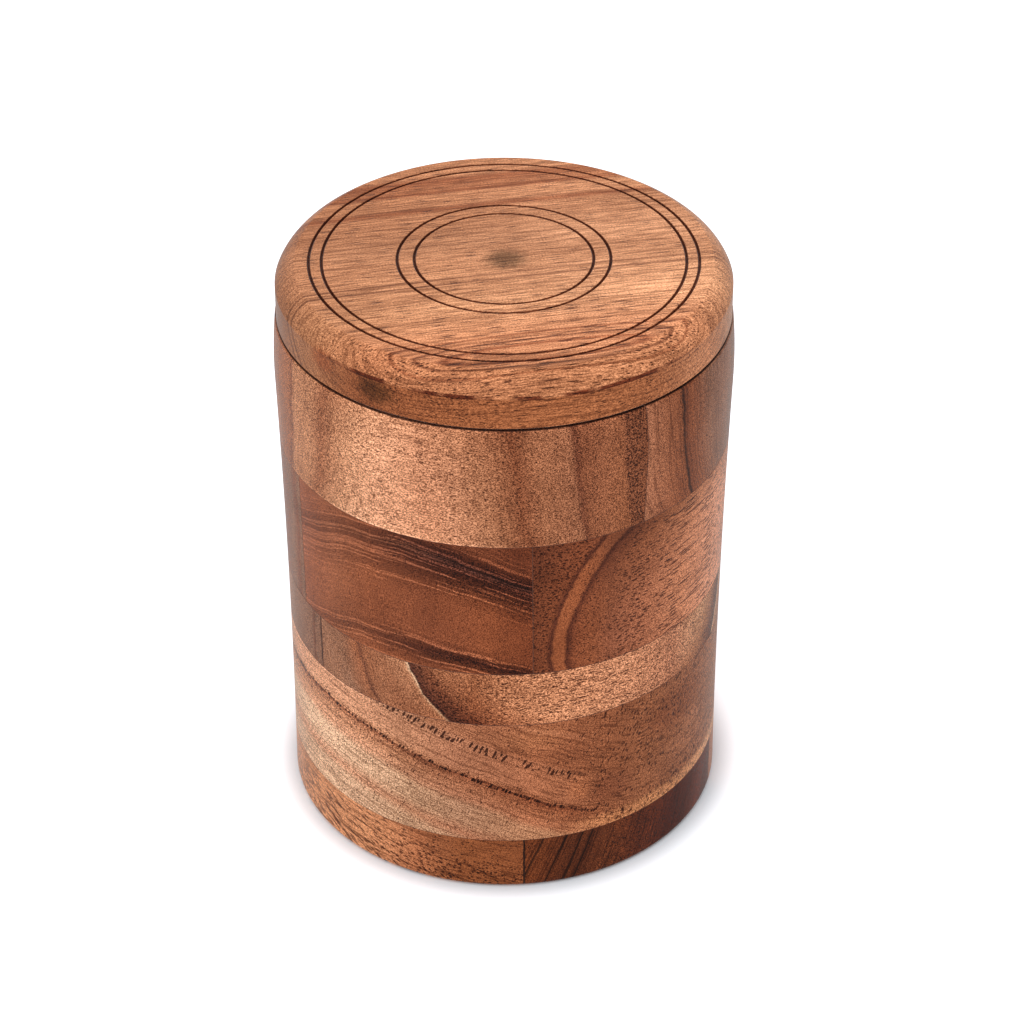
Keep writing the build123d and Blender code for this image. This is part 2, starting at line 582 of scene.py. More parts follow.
# %% Nodes of any shader tree
class Graph:
    """A tree of shader nodes under construction."""

    def __init__(self, owner):
        owner.use_nodes = True
        self.tree = owner.node_tree
        self.tree.nodes.clear()

    def feed(self, socket, value):
        """Links a socket to another one, or sets its own value."""
        if isinstance(value, bpy.types.NodeSocket):
            self.tree.links.new(value, socket)
        else:
            socket.default_value = value

    def node(self, kind, fields=(), **inputs):
        """Adds a node. Inputs are named with _ for each blank."""
        made = self.tree.nodes.new("ShaderNode" + kind)
        for field, value in dict(fields).items():
            setattr(made, field, value)
        for name, value in inputs.items():
            self.feed(made.inputs[name.replace("_", " ")], value)
        return made

    def step(self, kind, operation, values):
        """Adds a node that works on values, in the order of its inputs, and gives its outputs."""
        made = self.node(kind, {"operation": operation})
        for socket, value in zip(made.inputs, values):
            self.feed(socket, value)
        return made.outputs

    def math(self, operation, *values):
        """One step of arithmetic."""
        return self.step("Math", operation, values)[0]

    def times(self, first, *factors):
        """The product of two or more values."""
        for factor in factors:
            first = self.math("MULTIPLY", first, factor)
        return first

    def minus(self, first, second):
        """A difference."""
        return self.math("SUBTRACT", first, second)

    def linear(self, value, slope, offset):
        """The value times the slope, plus the offset."""
        return self.math("MULTIPLY_ADD", value, slope, offset)

    def vector(self, operation, *values):
        """One step of arithmetic on vectors."""
        result = "Value" if operation in ("DOT_PRODUCT", "LENGTH") else "Vector"
        return self.step("VectorMath", operation, values)[result]

    def mix_shaders(self, amount, first, second):
        """The first shader where the amount is 0 and the second where it is 1."""
        made = self.node("MixShader", Fac=amount)
        self.feed(made.inputs[1], first)
        self.feed(made.inputs[2], second)
        return made.outputs[0]


# %% The workbench for finishes
class Finish(Graph):
    """A material under construction."""

    def __init__(self, name):
        self.material = bpy.data.materials.new(name)
        super().__init__(self.material)

    def split(self, vector):
        """The three coordinates of a vector."""
        return self.node("SeparateXYZ", Vector=vector).outputs

    def join(self, x, y, z):
        """A vector from three coordinates."""
        return self.node("CombineXYZ", X=x, Y=y, Z=z).outputs[0]

    def fade(self, value, start, stop, low=0.0, high=1.0):
        """A smooth step from low to high as the value goes from start to stop."""
        made = self.node("MapRange", {"interpolation_type": "SMOOTHSTEP"}, Value=value)
        for name, limit in (("From Min", start), ("From Max", stop), ("To Min", low), ("To Max", high)):
            self.feed(made.inputs[name], limit)
        return made.outputs[0]

    def blend(self, amount, first, second, kind="MIX"):
        """A mixture of two colours, which are the inputs 6 and 7 of the node."""
        made = self.node("Mix", {"data_type": "RGBA", "blend_type": kind})
        self.feed(made.inputs[0], amount)
        for socket, colour in zip(made.inputs[6:8], (first, second)):
            self.feed(socket, colour if isinstance(colour, bpy.types.NodeSocket) else (*colour, 1))
        return made.outputs[2]

    def tint(self, amount, colour, factors):
        """Multiplies a colour by the factors, as far as the amount says."""
        return self.blend(amount, colour, factors, "MULTIPLY")

    def noise(self, vector, scale=1.0, detail=2.0, roughness=0.5):
        """Soft random values from 0 to 1, about one hill for each unit over the scale."""
        made = self.node("TexNoise", Vector=vector, Scale=scale, Detail=detail, Roughness=roughness)
        return made.outputs[0]

    def ramp(self, value, stops):
        """The colour and the alpha at a value, between stops that are (place, colour, alpha)."""
        low, high = stops[0][0], stops[-1][0]
        share = self.node("MapRange", Value=value)
        self.feed(share.inputs["From Min"], low)
        self.feed(share.inputs["From Max"], high)
        made = self.node("ValToRGB", Fac=share.outputs[0])
        elements = made.color_ramp.elements
        while len(elements) < len(stops):
            elements.new(0.5)
        for element, (place, colour, alpha) in zip(elements, stops):
            element.position = (place - low) / (high - low)
            element.color = (*colour, alpha)
        return made.outputs

    def surface(self, colour, roughness, bump=None, **uniform):
        """The shader of a surface. Uniform values are set on its own sockets."""
        shader = self.node("BsdfPrincipled", Base_Color=colour, Roughness=roughness)
        if bump is not None:
            self.feed(shader.inputs["Normal"], bump)
        for name, value in uniform.items():
            shader.inputs[name.replace("_", " ")].default_value = value
        return shader.outputs[0]

    def done(self, shader):
        """Sends the shader to the output, and gives the material."""
        self.node("OutputMaterial", Surface=shader)
        print(f"{self.material.name}: {len(self.tree.nodes)} nodes")
        return self.material


# %% [markdown]
# ### Growth rings
# How the rings lie depends on where the board came from in the log. Near the pith they are
# round. Further out they are nearly flat. Each helper gives, for a point of the board, a
# length in millimetres that stays the same along a ring, such as the distance to the pith,
# so that a colour can belong to a ring.


# %% Ways in which growth rings lie
def round_rings(across, up, drift=0.0, bow=0.0):
    """Rings round a pith at this place: the distance to it, plus a drift along the board.

    The pith dips away along the board by bow times u squared, as in a crotch of the tree.
    """

    def distance(finish, u, v, z):
        sideways = finish.minus(v, across)
        upwards = finish.minus(finish.minus(z, up), finish.times(u, u, bow))
        squares = finish.linear(upwards, upwards, finish.times(sideways, sideways))
        return finish.linear(u, drift, finish.math("SQRT", squares))

    return distance


def arched_rings(across, rise, width, lean=0.0):
    """Troughs: the height less rise times the root of (v - across)2 + width2, plus a lean."""

    def distance(finish, u, v, z):
        sideways = finish.minus(v, across)
        squares = finish.linear(sideways, sideways, width**2)
        trough = finish.linear(finish.math("SQRT", squares), -rise, z)
        return finish.linear(sideways, lean, trough)

    return distance


def sagging_rings(sag, spread, level):
    """Troughs that deepen upwards: z + v2 (sag + spread (z - level))."""

    def distance(finish, u, v, z):
        deepening = finish.linear(z, spread, sag - spread * level)
        return finish.linear(finish.times(v, v), deepening, z)

    return distance


def leaning_rings(lean):
    """Flat rings that stand nearly upright: the way across less the lean times the height."""

    def distance(finish, u, v, z):
        return finish.linear(z, -lean, v)

    return distance


# %% [markdown]
# ### How a tree strays from plan
# Real rings waver. A slow push bends whole bands, and a quick small one makes the fine lines
# tremble and break, as they do on end grain. Both pushes are several times longer along the
# fibres than across them, because that is how wood grows.


# %% Pushes and lines
slow_scale = 0.045
quick_scale = 0.4
full_push = 2.2


def stray(finish, board, slow, quick):
    """The board's coordinates, pushed across the fibres by two coloured noises in turn."""
    for scale, reach in ((slow_scale, full_push * slow), (quick_scale, full_push * quick)):
        place = finish.vector("MULTIPLY", board, (0.2, 1.0, 1.0))
        push = finish.node("TexNoise", Vector=place, Scale=scale, Detail=2.0, Roughness=0.5).outputs[1]
        push = finish.vector("SUBTRACT", push, (0.5, 0.5, 0.5))
        push = finish.vector("MULTIPLY", push, (0.0, reach, reach))
        board = finish.vector("ADD", board, push)
    return board


def growth_lines(finish, grown, ring, step, length):
    """Soft random values in layers that follow the rings: a hill has one step's height, and a length."""
    u, v, z = finish.split(grown)
    place = finish.join(
        finish.times(u, 0.3 / length),
        finish.times(finish.math("ADD", v, z), 1 / length),
        finish.times(ring, 1 / step),
    )
    return finish.noise(place, detail=1.0, roughness=0.5)


# %% Specks, streaks and blotches
def noisy_factor(finish, board, scale, detail, roughness, values, factors):
    """A factor about 1 from a noise: it goes between two factors as the noise does between two values.

    scale is how many hills fit in a millimetre, along the fibres and the two ways across.
    """
    place = finish.vector("MULTIPLY", board, scale)
    return finish.fade(finish.noise(place, detail=detail, roughness=roughness), *values, *factors)


def specks(finish, board):
    """The peppered look, which changes within a quarter of a millimetre."""
    return noisy_factor(finish, board, (2.4, 4.8, 4.8), 1.0, 0.5, (0.32, 0.66), (0.34, 1.6))


def streaks(finish, board):
    """Bundles of fibres, fine across the board and long along it."""
    return noisy_factor(finish, board, (0.16, 2.9, 2.9), 2.0, 0.7, (0.3, 0.7), (0.62, 1.35))


def blotches(finish, board):
    """Slow changes of tone over a centimetre or two."""
    return noisy_factor(finish, board, (0.03, 0.1, 0.1), 3.0, 0.55, (0.3, 0.7), (0.86, 1.14))


# %% [markdown]
# ### Pores
# Voronoi cells stretched along the fibres stand for the vessels. The core of a cell is the
# open pore. Only a share of the cells shows one, and that share changes from ring to ring,
# so pores gather in rows as they do in the early wood of a ring. Where the tree grew round a
# branch, the vessels turn out of the board's own direction and tip out of the level.


# %% Pores as stretched cells
crowded_from = 0.6
pore_reach = 0.3
crowded_growth = 0.2
pore_floor = 0.55
luck_margin = 0.2


def stretched_cells(finish, jar, grain, lean, spacing, stretch):
    """Voronoi cells, long along the vessels: the distance to a cell's middle, and its colour.

    grain and lean point the vessels. spacing is the width of a cell in millimetres, and
    stretch is how many times longer than wide it is.
    """
    place = jar
    for turn in ((0.0, 0.0, -math.radians(grain)), (0.0, math.radians(lean), 0.0)):
        place = finish.node("Mapping", Vector=place, Rotation=turn).outputs[0]
    place = finish.vector("MULTIPLY", place, (1 / (spacing * stretch), 1 / spacing, 1 / spacing))
    return finish.node("TexVoronoi", Vector=place, Scale=1.0, Randomness=1.0).outputs


def pores(finish, jar, grain, lean, spacing, stretch, share):
    """One in the core of a cell that shows its pore, zero elsewhere. Crowded pores are wider."""
    cells = stretched_cells(finish, jar, grain, lean, spacing, stretch)
    crowding = finish.fade(share, crowded_from, 1.0)
    reach = finish.linear(crowding, crowded_growth, pore_reach)
    core = finish.fade(cells["Distance"], reach, finish.times(reach, pore_floor))
    hidden = finish.minus(1.0, share)
    luck = finish.split(cells["Color"])[0]
    shows = finish.fade(luck, hidden, finish.math("ADD", hidden, luck_margin))
    return finish.times(core, shows)


# %% [markdown]
# ### The recipe
# One recipe serves every board. What changes is the way that the fibres run, the way that
# the rings lie, and the tones from ring to ring. A tone's last number is the share of pores
# that show in that ring, and fine growth lines are clearest in the same rings. Sapwood and
# heartwood differ, so a board also changes its tone across and along. On two boards, pale
# bluish factors near the sides, where the wall turns away, are also painted reflection of the
# bright room. Open end grain drinks more oil than a long side does, so the recipe darkens it
# where the surface cuts across the fibres.

# %% Steps of the recipe
pore_shadow = (0.2, 0.14, 0.12)
end_grain_shade = (0.95, 0.91, 0.88)
line_inside, line_outside = 0.38, 0.48
line_effect, gap_effect = 1.0, -0.3


def thin_line(start, stop, soft, beside, inside):
    """Four stops of a tone list: a line from start to stop, with soft sides into what is beside it.

    A tone is (colour, pores).
    """
    return [(start - soft, *beside), (start, *inside), (stop, *inside), (stop + soft, *beside)]


def shaded(finish, colour, value, stops):
    """The colour times factors that change with a coordinate.

    A stop is (place, red, green, blue).
    """
    if not stops:
        return colour
    factors = finish.ramp(value, [(place, factor, 1.0) for place, *factor in stops])[0]
    return finish.tint(1.0, colour, factors)


def toned(finish, ring, v, tones, faded):
    """The colour and the share of pores of a ring, faded towards one tone across the board."""
    colour, share = finish.ramp(ring, tones)
    if faded:
        start, stop, amount, goal, goal_share = faded
        gone = finish.fade(v, start, stop, 0.0, amount)
        colour = finish.blend(gone, colour, goal)
        share = finish.linear(gone, finish.minus(goal_share, share), share)
    return colour, share


def texture(finish, board, layers, share, lines, pepper, fibre):
    """The factor by which fine lines, specks, blotches and fibres change the tone."""
    strength = finish.linear(share, lines[1] - lines[0], lines[0])
    line = finish.fade(layers, line_inside, line_outside, line_effect, gap_effect)
    contrast = finish.linear(line, strength, 1.0)
    peppering = finish.linear(share, 0.6 * pepper, 0.7 * pepper)
    peppered = finish.math("POWER", specks(finish, board), peppering)
    streaked = finish.math("POWER", streaks(finish, board), fibre)
    return finish.times(peppered, blotches(finish, board), streaked, contrast)


# %% The recipe for wood
edge_shift = 0.4
grit_relief = 0.3
relief_depth = 0.1 * mm
least_roughness, grit_roughness = 0.36, 0.12


def wood(
    name, grain, rings, tones, across=(), along=(), wander=2.0, tremor=0.5,
    lines=(-0.05, -0.2), line_step=0.4, line_length=8.0, pepper=1.4, fibre=0.8,
    pore_grain=None, pore_lean=0.0, pore_spacing=0.7, pore_stretch=9.0,
    end_shade=end_grain_shade, faded=None, details=None,
):
    """A solid wood finish.

    grain is the compass angle at which the board shows its long grain. The rings function
    gives the ring of a point, and tones list (ring, colour, pores). across and along list
    (place, red, green, blue), factors on the tone across the fibres and along them. wander
    and tremor are how far rings stray, in millimetres. lines is how strongly fine growth
    lines show, one about every two line_steps, in a ring without pores and in one with all
    of them: bright lines above zero, dark ones below it. They run on for a line_length.
    pepper and fibre are how strongly specks and bundles of fibres show. pore_grain and
    pore_lean point the vessels where they leave the grain. faded is (from, to, amount,
    colour, pores): across the board the rings fade to that tone. A details function adds
    what only one board has.
    """
    finish = Finish(name)
    place = finish.node("TexCoord").outputs
    jar = finish.vector("MULTIPLY", place["Object"], (1 / mm,) * 3)
    turn = (0.0, 0.0, -math.radians(grain))
    board = finish.node("Mapping", Vector=jar, Rotation=turn).outputs[0]
    grown = stray(finish, board, wander, tremor)
    u, v, z = finish.split(grown)
    ring = rings(finish, u, v, z)

    layers = growth_lines(finish, grown, ring, line_step, line_length)
    shifted = finish.linear(finish.minus(layers, 0.5), edge_shift, ring)
    colour, share = toned(finish, shifted, v, tones, faded)
    colour = shaded(finish, colour, v, across)
    colour = shaded(finish, colour, u, along)

    grit = texture(finish, board, layers, share, lines, pepper, fibre)
    warmed = finish.join(finish.math("POWER", grit, 0.85), grit, finish.math("POWER", grit, 1.1))
    colour = finish.tint(1.0, colour, warmed)
    vessels = grain if pore_grain is None else pore_grain
    open_pores = pores(finish, jar, vessels, pore_lean, pore_spacing, pore_stretch, share)
    colour = finish.tint(open_pores, colour, pore_shadow)

    fibre_way = (math.cos(math.radians(grain)), math.sin(math.radians(grain)), 0.0)
    end_grain = finish.math("ABSOLUTE", finish.vector("DOT_PRODUCT", place["Normal"], fibre_way))
    colour = finish.tint(finish.times(end_grain, end_grain), colour, end_shade)
    if details:
        colour = details(finish, jar, board, colour)

    relief = finish.linear(open_pores, -1.0, finish.times(grit, grit_relief))
    bump = finish.node("Bump", Strength=0.4, Distance=relief_depth, Height=relief).outputs[0]
    roughness = finish.linear(grit, grit_roughness, least_roughness)
    oiled = finish.surface(
        colour, roughness, bump, Specular_IOR_Level=0.1, Sheen_Weight=0.36, Sheen_Roughness=0.25
    )
    return finish.done(oiled)


# %% [markdown]
# ### Marks that only one board has
# A glue line, a stain or a smudge is a mask: the nearness of a plane or of a place, made
# ragged by noise so that no edge looks ruled.


# %% Masks for marks
outer_from = 53.0


def near_plane(finish, value, at, half_width, soft=0.08):
    """One within half a width of the place where the value equals at, zero a soft side away."""
    off = finish.math("ABSOLUTE", finish.minus(value, at))
    return finish.fade(off, half_width + soft, half_width)


def blot(finish, jar, centre, reach, ragged=0.8):
    """One in the middle of a ragged round patch, and zero where the distance is over the reach."""
    away = finish.vector("DIVIDE", finish.vector("SUBTRACT", jar, centre), reach)
    away = finish.vector("LENGTH", away)
    rough = finish.noise(jar, scale=0.9, detail=3.0, roughness=0.7)
    away = finish.linear(finish.minus(rough, 0.5), ragged, away)
    return finish.fade(away, 1.1, 0.3)


def spotted(finish, jar, colour, spots):
    """The colour with ragged patches on it. A spot is (centre, reach, ragged, factors)."""
    for centre, reach, ragged, factors in spots:
        colour = finish.tint(blot(finish, jar, centre, reach, ragged), colour, factors)
    return colour


def at_outer_edge(finish, jar, mask):
    """The part of a mask that is near the outside of the rim, more than outer_from off the axis."""
    x, y, _ = finish.split(jar)
    off_axis = finish.vector("LENGTH", finish.join(x, y, 0.0))
    return finish.times(mask, finish.fade(off_axis, outer_from, outer_from + 0.3))


def wavering(finish, jar, value, scale, reach):
    """The value pushed about by a noise, so that a straight line in it wavers."""
    push = finish.minus(finish.noise(jar, scale=scale, detail=2.0), 0.5)
    return finish.linear(push, 2.0 * reach, value)


# %% [markdown]
# ### Wood of the base
# The left board is a plain red brown with long wavy dashes that slope down to the right. The
# middle board shows its end grain at the front, dark heartwood crossed by black growth lines
# that lean to the left. The joint between them has a black glue line, a third of a
# millimetre wide, the only one that the eye finds at once.

# %% Finishes of the base
glue_black = (0.07, 0.06, 0.06)


def black_glue(finish, jar, board, colour):
    """The visible glue line at the plane between the left board and the middle one."""
    across = wavering(finish, jar, finish.split(board)[1], 0.6, 0.2)
    return finish.tint(near_plane(finish, across, -half_strip / mm, 0.17), colour, glue_black)


base_left_wood = wood(
    "base_left_wood", base_grain, arched_rings(-20, 0.35, 10),
    [(-30, tan, 1.0), (-12, tan, 1.0), (-4, tan, 1.0), (2, tan, 0.7), (20, tan, 0.6)],
    along=[
        (-30, 1.35, 1.4, 1.35), (-10, 1.55, 1.68, 1.65), (10, 1.55, 1.65, 1.6),
        (24, 1.0, 0.87, 0.76), (34, 0.65, 0.5, 0.35), (45, 0.63, 0.47, 0.33),
    ],
    lines=(-0.3, -0.5), line_length=4.0, pepper=0.7, fibre=0.4, pore_lean=-20, pore_spacing=0.6,
    pore_stretch=10.0, details=black_glue,
)
base_middle_wood = wood(
    "base_middle_wood", base_grain, leaning_rings(0.36),
    [
        (-36, rust, 0.3), *thin_line(-32.3, -32.1, 0.2, (rust, 0.3), (soot, 0.1)),
        *thin_line(-27.2, -27.0, 0.2, (chestnut, 0.3), (soot, 0.1)),
        (-23.4, walnut, 0.3), (-23.1, soot, 0.1), (-22.9, soot, 0.1), (-22.6, chestnut, 0.3),
        (-20.9, walnut, 0.3), (-20.6, soot, 0.1), (-20.2, walnut, 0.4), (-14, chestnut, 0.8),
        (-5, walnut, 0.8), (0, walnut, 0.8), (6, cocoa, 0.7), (14, cocoa, 0.7), (20, walnut, 0.7),
        (26, cocoa, 0.7), (36, walnut, 0.6),
    ],
    across=[
        (-31, 0.55, 0.41, 0.27), (-20, 0.55, 0.43, 0.3), (-10, 0.62, 0.48, 0.34),
        (20, 0.98, 0.55, 0.4),
    ],
    wander=0.6, tremor=0.08, lines=(-0.4, -0.5), line_length=20.0, details=black_glue,
)
base_right_wood = wood(
    "base_right_wood", base_grain, round_rings(60, 40),
    [(0, tan, 0.5), (20, salmon, 0.5), (60, rust, 0.5)],
)

# %% [markdown]
# ### Wood of the lower ring
# One wide board with a flat-sawn figure: cream at the lower left, a row of black strokes that
# climbs to the left above it, then darker bands at the right. The strokes are vessels that
# turned with the grain round a branch, so they lie in the surface and lean. A fine painted
# highlight runs along the upper edge at the left, where the layer stands a hair proud.

# %% Marks of the lower ring
# Painted highlight: a pale factor on layer edges that stand proud, where they would catch the light.
painted_edge_highlight = (1.3, 1.35, 1.4)
strip_glow = (1.9, 2.3, 2.3)
stroke_black = (0.13, 0.09, 0.08)
vessel_grain, vessel_lean = 0, 62
lower_rings = arched_rings(2, 0.4, 12, 0.13)
stroke_rows = ((23.5, 1.2), (13.3, 0.35))
lower_spots = [
    ((18.0, -50.9, 29.0), (4.0, 4.0, 5.0), 0.8, (1.25, 1.25, 1.2)),
    ((26.0, -47.3, 26.5), (7.5, 7.5, 6.0), 0.8, (0.76, 0.7, 0.7)),
    ((6.6, -53.5, 46.5), (10.0, 10.0, 5.0), 0.8, (1.2, 1.28, 1.28)),
    ((42.0, -34.0, 41.0), (14.0, 14.0, 8.0), 0.8, (0.82, 0.73, 0.68)),
]


def black_strokes(finish, jar, board, colour):
    """The rows of black strokes: stretched cells that show only near two of the rings."""
    u, v, z = finish.split(board)
    ring = wavering(finish, jar, lower_rings(finish, u, v, z), 0.3, 0.6)
    stroke = stretched_cells(finish, jar, vessel_grain, vessel_lean, 0.75, 4.0)["Distance"]
    stroke = finish.times(finish.fade(stroke, 0.5, 0.36), finish.fade(v, -9.0, -13.0))
    for stroke_ring, half_width in stroke_rows:
        row = near_plane(finish, ring, stroke_ring, half_width, 0.3)
        colour = finish.tint(finish.times(row, stroke), colour, stroke_black)
    return colour


def lower_ring_marks(finish, jar, board, colour):
    """The spots, the light strip at the lower right, the strokes and the painted highlight on the upper
    edge.
    """
    x, _, z = finish.split(jar)
    colour = spotted(finish, jar, colour, lower_spots)
    strip = finish.times(finish.fade(x, 12.0, 28.0), finish.fade(z, 19.5, 17.0))
    colour = finish.tint(strip, colour, strip_glow)
    colour = black_strokes(finish, jar, board, colour)
    # Painted highlight along the upper edge at the left.
    left = finish.fade(x, -15.0, -25.0)
    edge = finish.fade(z, lower_ring_top / mm - 0.45, lower_ring_top / mm - 0.25)
    return finish.tint(finish.times(left, edge), colour, painted_edge_highlight)


# %% Finish of the lower ring
lower_ring_grain = -58
lower_ring_wood = wood(
    "lower_ring_wood", lower_ring_grain, lower_rings,
    [
        (-18, cream, 0.3), (-8, cream, 0.3), (-5, honey, 0.4), (-1, cream, 0.3), (4, cream, 0.3),
        (6.5, honey, 0.4), (10, sand, 0.5), (12.6, tan, 0.8), (13.1, rust, 1.0), (13.3, walnut, 1.0),
        (13.5, tan, 1.0), (14.2, sand, 0.6), (15.5, honey, 0.2), (21, honey, 0.2), (24.6, honey, 0.4),
        (25.3, sand, 0.3), (34, sand, 0.4), (35.2, honey, 0.4), (36.4, sand, 0.5),
        (40, sand, 0.6), (50, tan, 0.6),
    ],
    across=[
        (-54, 1.02, 0.98, 0.98), (-46, 0.74, 0.66, 0.62), (-38, 0.66, 0.54, 0.5),
        (-23, 0.68, 0.5, 0.42), (-5, 0.54, 0.38, 0.3), (10, 0.58, 0.44, 0.36),
        (25, 0.58, 0.46, 0.41), (40, 0.62, 0.53, 0.5),
    ],
    faded=(-16, -4, 0.8, sand, 0.9), lines=(-0.35, -0.4), line_step=0.45, line_length=4.0, fibre=0.5,
    pore_grain=vessel_grain, pore_lean=vessel_lean, pore_spacing=0.7, pore_stretch=3.0,
    details=lower_ring_marks,
)

# %% [markdown]
# ### Wood of the thin ring
# The front board has a sharp pale line where two growths met, a dark band beside it, and
# light wood with short dashes at the right. The back board begins at the left with a black
# ragged joint and grey-brown end grain.

# %% Finishes of the thin ring
thin_front_wood = wood(
    "thin_front_wood", thin_ring_grain, round_rings(-75, 75, -0.12),
    [
        (17, sand, 0.7), (22, sand, 0.8), (32, sand, 0.8), (36, tan, 0.6), (39, chestnut, 0.9),
        (42.35, cocoa, 0.9), (42.6, cream, 0.1), (43.0, sand, 0.3), (43.6, tan, 0.5),
        (48.5, rust, 0.5), (53.6, rust, 0.5), (54.7, walnut, 0.6), (55.8, rust, 0.5),
        (61, grey_brown, 0.6), (75, grey_brown, 0.6),
    ],
    along=[
        (-50, 1.25, 1.2, 1.1), (-43, 1.1, 1.25, 1.35), (-34, 0.92, 0.85, 0.8),
        (-25, 0.62, 0.46, 0.37), (-8, 1.1, 0.97, 0.9), (9, 1.11, 1.0, 0.97),
        (26, 0.84, 0.71, 0.69), (37, 1.0, 1.05, 1.05),
    ],
    wander=1.0, pore_spacing=0.55, pore_stretch=8.0,
)


def ragged_joint(finish, jar, board, colour):
    """The dark ragged joint with the front board."""
    across = wavering(finish, jar, finish.split(board)[1], 0.35, 0.5)
    return finish.tint(near_plane(finish, across, -thin_joint / mm, 0.35, 0.4), colour, pore_shadow)


thin_back_wood = wood(
    "thin_back_wood", thin_ring_grain, leaning_rings(0.0),
    [
        (-15, grey_brown, 0.5), (-11, grey_brown, 0.5), (-10.2, walnut, 0.4), (-9, grey_brown, 0.5),
        (0, grey_brown, 0.5), (30, tan, 0.5), (55, tan, 0.5),
    ],
    details=ragged_joint,
)

# %% [markdown]
# ### Wood of the middle ring
# The front block is end grain. Its rings sag in the middle, with a chocolate band near the top
# and another near the bottom, and fine pale lines in them. Both bands fade to the left. The
# board at the right turns from dark end grain to long grain, red brown first and salmon
# with long dashes further round.

# %% Finishes of the middle ring
middle_front_wood = wood(
    "middle_front_wood", middle_ring_grain, sagging_rings(0.007, 0.00015, 70),
    [
        (62, rust, 0.3), (67, chestnut, 0.5), (69.8, walnut, 0.9), (71.5, cocoa, 1.0), (73, walnut, 0.9),
        (75.5, chestnut, 0.3), (79, chestnut, 0.15), (87, chestnut, 0.15), (90, chestnut, 0.6),
        (94, walnut, 0.9), (98, cocoa, 1.0), (100, coal, 1.0), (102, cocoa, 1.0), (105, walnut, 0.5),
        (110, walnut, 0.2), (130, chestnut, 0.2),
    ],
    across=[
        (-31, 1.0, 0.8, 0.62), (-22, 1.2, 1.05, 0.86), (-8, 1.1, 1.0, 0.92), (8, 1.32, 1.25, 1.12),
        (18, 1.45, 1.48, 1.42), (31, 1.55, 1.5, 1.45),
    ],
    faded=(-18, 22, 0.7, chestnut, 0.2), lines=(-0.3, 1.8), line_step=0.55, line_length=30.0, fibre=0.3,
    tremor=0.2, pore_spacing=0.5, pore_stretch=6.0,
)
middle_right_wood = wood(
    "middle_right_wood", middle_ring_grain, round_rings(-90, 72),
    [
        (30, salmon, 0.9), (42, salmon, 0.9), (48, rust, 0.8), (51.3, chestnut, 0.7), (52.4, cocoa, 0.6),
        (53, rust, 0.4), (54.8, rust, 0.4), (55.3, cocoa, 0.6), (56.3, chestnut, 0.9), (64, walnut, 1.0),
        (80, walnut, 1.0),
    ],
    along=[
        (-44, 0.95, 0.83, 0.7), (-37, 1.15, 1.0, 0.85), (-31, 0.74, 0.66, 0.64),
        (-23, 0.8, 0.73, 0.68), (-10, 1.16, 1.18, 1.14), (5, 1.5, 1.72, 1.9),
        # Pale bluish factors at 5 and 20: painted reflection of the bright room where the wall turns
        # away, over the board's tone.
        (20, 1.5, 1.65, 1.75),
    ],
    wander=1.0, lines=(0.0, -0.1), pepper=0.9, fibre=0.6,
    pore_grain=55, pore_spacing=0.55, pore_stretch=26.0,
)
middle_left_wood = wood(
    "middle_left_wood", middle_ring_grain, leaning_rings(0.0),
    [
        (30, grey_brown, 0.4), (31.5, grey_brown, 0.5), (33, chestnut, 0.5), (36, grey_brown, 0.4),
        (40, chestnut, 0.4), (46, grey_brown, 0.4), (55, tan, 0.4),
    ],
)

# %% [markdown]
# ### Wood of the rim ring
# The front board is among the palest of the body: honey at the left, then tan and rust
# towards the right, where black pores crowd against the joint. The block beyond that joint
# is end grain with one dark upright streak. A painted highlight runs as a fine bright line
# along the lower edge, and a painted shadow darkens the upper edge where the lid's edge
# rests. The front board's fibres run a few degrees off its panel.

# %% Finishes of the rim ring
# Painted shadow: the dark ring in the gap under the lid's edge.
painted_crevice_shadow = (0.1, 0.07, 0.06)
rim_front_grain = -23.4


def rim_edges(finish, jar, board, colour):
    """The painted highlight on the lower edge at the left front, and the painted shadow in the gap under
    the lid's edge.
    """
    x, _, z = finish.split(jar)
    # Painted highlight along the lower edge at the left front.
    left = finish.fade(x, 18.0, 0.0)
    edge = finish.fade(z, middle_ring_top / mm + 0.55, middle_ring_top / mm + 0.3)
    colour = finish.tint(finish.times(left, edge), colour, painted_edge_highlight)
    # Painted shadow in the gap under the lid's edge.
    crevice = finish.fade(z, rim_top / mm - 0.38, rim_top / mm - 0.24)
    return finish.tint(at_outer_edge(finish, jar, crevice), colour, painted_crevice_shadow)


rim_front_wood = wood(
    "rim_front_wood", rim_front_grain, round_rings(80, 128),
    [
        (100, rust, 0.5), (107, chestnut, 0.9), (109, chestnut, 1.0), (112, chestnut, 1.0),
        (113.2, rust, 0.6), (118, rust, 0.5), (120.5, rust, 0.5), (121.5, chestnut, 0.7),
        (122.6, tan, 0.5), (127, tan, 0.4), (129.4, rust, 0.6), (131, tan, 0.4), (133, sand, 0.4),
        (135, honey, 0.4), (140, honey, 0.4),
    ],
    along=[
        # The pale bluish factors at -40 and -30 are partly painted reflection of the bright room at the
        # left, partly the board's tone.
        (-40, 1.15, 1.2, 1.2), (-30, 1.2, 1.3, 1.35), (-22, 1.06, 1.1, 1.13),
        (-9, 1.2, 1.17, 1.17), (4, 1.0, 0.88, 0.83), (14, 0.85, 0.74, 0.69),
        (23, 0.68, 0.6, 0.56), (30, 0.84, 0.78, 0.76), (35, 0.76, 0.7, 0.7),
        (41, 1.03, 1.05, 1.08), (46, 0.95, 0.92, 0.85),
    ],
    wander=1.2, lines=(-0.1, -0.25), line_length=4.0, pore_spacing=0.6, pore_stretch=6.0,
    details=rim_edges,
)
